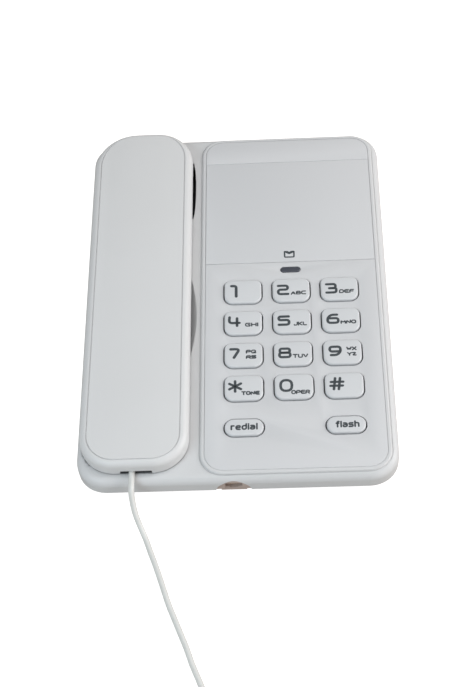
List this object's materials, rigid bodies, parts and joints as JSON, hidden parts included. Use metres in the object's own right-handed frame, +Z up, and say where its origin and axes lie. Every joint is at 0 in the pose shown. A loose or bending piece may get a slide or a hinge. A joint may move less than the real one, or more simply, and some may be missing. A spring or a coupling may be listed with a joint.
{
  "type": "corded telephone",
  "caption": "Slim corded telephone with a sloping base, push-button keypad, flat handset lying in its cradle and a curly handset cord; keyholes below for a wall.",
  "frame": {"origin": "centre of the footprint, on the plane that the feet stand on", "axes": "+Z up, +Y towards the back edge with the line jack, +X towards the keypad side"},
  "size_m": [0.15, 0.4285, 0.0435],
  "materials": {
    "shell_plastic": "fine satin off-white",
    "handset_plastic": "fine satin off-white",
    "panel_plastic": "satin light grey-white",
    "key_plastic": "satin white",
    "lamp_plastic": "tinted dark slate",
    "led_plastic": "tinted red",
    "rubber": "matte grey",
    "steel": "zinc plated",
    "circuit_board": "green lacquer",
    "dark_plastic": "black",
    "jack_plastic": "moulded beige",
    "cord_jacket": "smooth off-white",
    "clear_plastic": "clear, seen as pale grey"
  },
  "bodies": {
    "base": {"base_top_housing": "shell_plastic", "base_bottom_cover": "shell_plastic", "rubber_feet": "rubber", "housing_screws": "steel", "ballast_weight": "steel", "keypad_faceplate": "panel_plastic", "name_plate": "panel_plastic", "lamp_lens": "lamp_plastic", "message_led": "led_plastic", "keypad_mat": "rubber", "main_circuit_board": "circuit_board", "board_screws": "steel", "ringer": "dark_plastic", "line_jack": "dark_plastic", "base_handset_jack": "jack_plastic", "wall_hook_tab": "shell_plastic", "hook_spring": "steel", "hook_switch": "dark_plastic", "cord_leader": "cord_jacket", "cord_coil": "cord_jacket", "cord_tail": "cord_jacket", "base_cord_plug": "clear_plastic"},
    "handset": {"handset_back_shell": "handset_plastic", "handset_front_shell": "handset_plastic", "earpiece_receiver": "dark_plastic", "microphone_capsule": "steel", "handset_weight": "steel", "handset_jack": "dark_plastic", "handset_screws": "steel", "handset_cord_plug": "clear_plastic"},
    "hook_plunger": {"hook_switch_plunger": "shell_plastic"},
    "ringer_knob": {"ringer_switch_knob": "lamp_plastic"},
    "tone_pulse_knob": {"tone_pulse_switch_knob": "lamp_plastic"},
    "key_1": {"key_1": "key_plastic"},
    "key_2": {"key_2": "key_plastic"},
    "key_3": {"key_3": "key_plastic"},
    "key_4": {"key_4": "key_plastic"},
    "key_5": {"key_5": "key_plastic"},
    "key_6": {"key_6": "key_plastic"},
    "key_7": {"key_7": "key_plastic"},
    "key_8": {"key_8": "key_plastic"},
    "key_9": {"key_9": "key_plastic"},
    "key_star": {"key_star": "key_plastic"},
    "key_0": {"key_0": "key_plastic"},
    "key_hash": {"key_hash": "key_plastic"},
    "key_redial": {"key_redial": "key_plastic"},
    "key_flash": {"key_flash": "key_plastic"}
  },
  "joints": [
    {"name": "handset_lift", "type": "slide", "parent": "base", "child": "handset", "axis": [0, -0.0872, 0.9962], "range_m": [0, 0.06]},
    {"name": "hook_rise", "type": "slide", "parent": "base", "child": "hook_plunger", "axis": [0, -0.0872, 0.9962], "range_m": [0, 0.004], "deforming": ["hook_spring"]},
    {"name": "ringer_switch_slide", "type": "slide", "parent": "base", "child": "ringer_knob", "axis": [0, 0.9962, 0.0872], "range_m": [0, 0.004]},
    {"name": "tone_pulse_slide", "type": "slide", "parent": "base", "child": "tone_pulse_knob", "axis": [-1, 0, 0], "range_m": [0, 0.004]},
    {"name": "key_1_press", "type": "slide", "parent": "base", "child": "key_1", "axis": [0, 0.0872, -0.9962], "range_m": [0, 0.0012], "stiffness_N_per_m": 300, "springref_m": -0.0015, "deforming": ["keypad_mat"]},
    {"name": "key_2_press", "type": "slide", "parent": "base", "child": "key_2", "axis": [0, 0.0872, -0.9962], "range_m": [0, 0.0012], "stiffness_N_per_m": 300, "springref_m": -0.0015, "deforming": ["keypad_mat"]},
    {"name": "key_3_press", "type": "slide", "parent": "base", "child": "key_3", "axis": [0, 0.0872, -0.9962], "range_m": [0, 0.0012], "stiffness_N_per_m": 300, "springref_m": -0.0015, "deforming": ["keypad_mat"]},
    {"name": "key_4_press", "type": "slide", "parent": "base", "child": "key_4", "axis": [0, 0.0872, -0.9962], "range_m": [0, 0.0012], "stiffness_N_per_m": 300, "springref_m": -0.0015, "deforming": ["keypad_mat"]},
    {"name": "key_5_press", "type": "slide", "parent": "base", "child": "key_5", "axis": [0, 0.0872, -0.9962], "range_m": [0, 0.0012], "stiffness_N_per_m": 300, "springref_m": -0.0015, "deforming": ["keypad_mat"]},
    {"name": "key_6_press", "type": "slide", "parent": "base", "child": "key_6", "axis": [0, 0.0872, -0.9962], "range_m": [0, 0.0012], "stiffness_N_per_m": 300, "springref_m": -0.0015, "deforming": ["keypad_mat"]},
    {"name": "key_7_press", "type": "slide", "parent": "base", "child": "key_7", "axis": [0, 0.0872, -0.9962], "range_m": [0, 0.0012], "stiffness_N_per_m": 300, "springref_m": -0.0015, "deforming": ["keypad_mat"]},
    {"name": "key_8_press", "type": "slide", "parent": "base", "child": "key_8", "axis": [0, 0.0872, -0.9962], "range_m": [0, 0.0012], "stiffness_N_per_m": 300, "springref_m": -0.0015, "deforming": ["keypad_mat"]},
    {"name": "key_9_press", "type": "slide", "parent": "base", "child": "key_9", "axis": [0, 0.0872, -0.9962], "range_m": [0, 0.0012], "stiffness_N_per_m": 300, "springref_m": -0.0015, "deforming": ["keypad_mat"]},
    {"name": "key_star_press", "type": "slide", "parent": "base", "child": "key_star", "axis": [0, 0.0872, -0.9962], "range_m": [0, 0.0012], "stiffness_N_per_m": 300, "springref_m": -0.0015, "deforming": ["keypad_mat"]},
    {"name": "key_0_press", "type": "slide", "parent": "base", "child": "key_0", "axis": [0, 0.0872, -0.9962], "range_m": [0, 0.0012], "stiffness_N_per_m": 300, "springref_m": -0.0015, "deforming": ["keypad_mat"]},
    {"name": "key_hash_press", "type": "slide", "parent": "base", "child": "key_hash", "axis": [0, 0.0872, -0.9962], "range_m": [0, 0.0012], "stiffness_N_per_m": 300, "springref_m": -0.0015, "deforming": ["keypad_mat"]},
    {"name": "key_redial_press", "type": "slide", "parent": "base", "child": "key_redial", "axis": [0, 0.0872, -0.9962], "range_m": [0, 0.0012], "stiffness_N_per_m": 300, "springref_m": -0.0015, "deforming": ["keypad_mat"]},
    {"name": "key_flash_press", "type": "slide", "parent": "base", "child": "key_flash", "axis": [0, 0.0872, -0.9962], "range_m": [0, 0.0012], "stiffness_N_per_m": 300, "springref_m": -0.0015, "deforming": ["keypad_mat"]}
  ],
  "couplings": [
    {"joint": "hook_rise", "follows": "handset_lift", "ratio": 0.0666}
  ]
}
